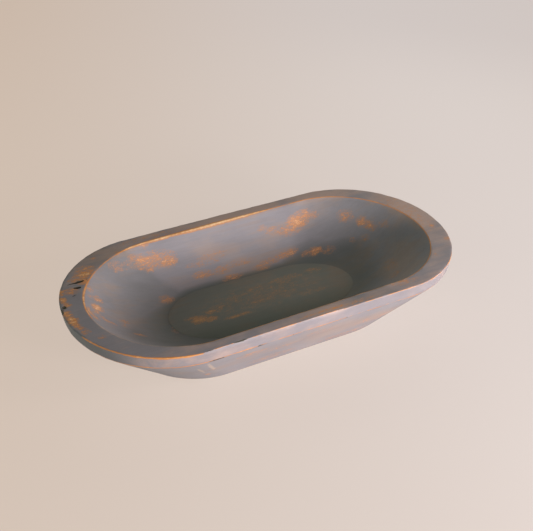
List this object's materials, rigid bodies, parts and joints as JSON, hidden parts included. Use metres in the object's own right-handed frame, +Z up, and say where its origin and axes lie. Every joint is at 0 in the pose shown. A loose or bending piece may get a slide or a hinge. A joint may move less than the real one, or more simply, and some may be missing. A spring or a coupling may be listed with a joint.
{
  "type": "dough bowl",
  "caption": "Long wooden dough bowl with round ends, sloping hollowed walls, a flat floor, a flat rim with an upright edge band, and worn painted wood.",
  "frame": {"origin": "on the table under the middle of the bowl", "axes": "+X along the bowl and its grain, away from the end with the knot hole; +Y towards the long side without the planed strip; +Z up"},
  "size_m": [0.5, 0.26, 0.075],
  "materials": {
    "floor_paint": "matte grey chalk paint, rubbed through to brown wood along the grain",
    "wall_paint": "satin grey chalk paint, rubbed through to orange wood in streaks",
    "rim_paint": "satin taupe chalk paint with bare orange wood on the edges"
  },
  "bodies": {
    "root": {"floor_board": "floor_paint", "wall_board": "wall_paint", "rim_board": "rim_paint"}
  },
  "joints": []
}
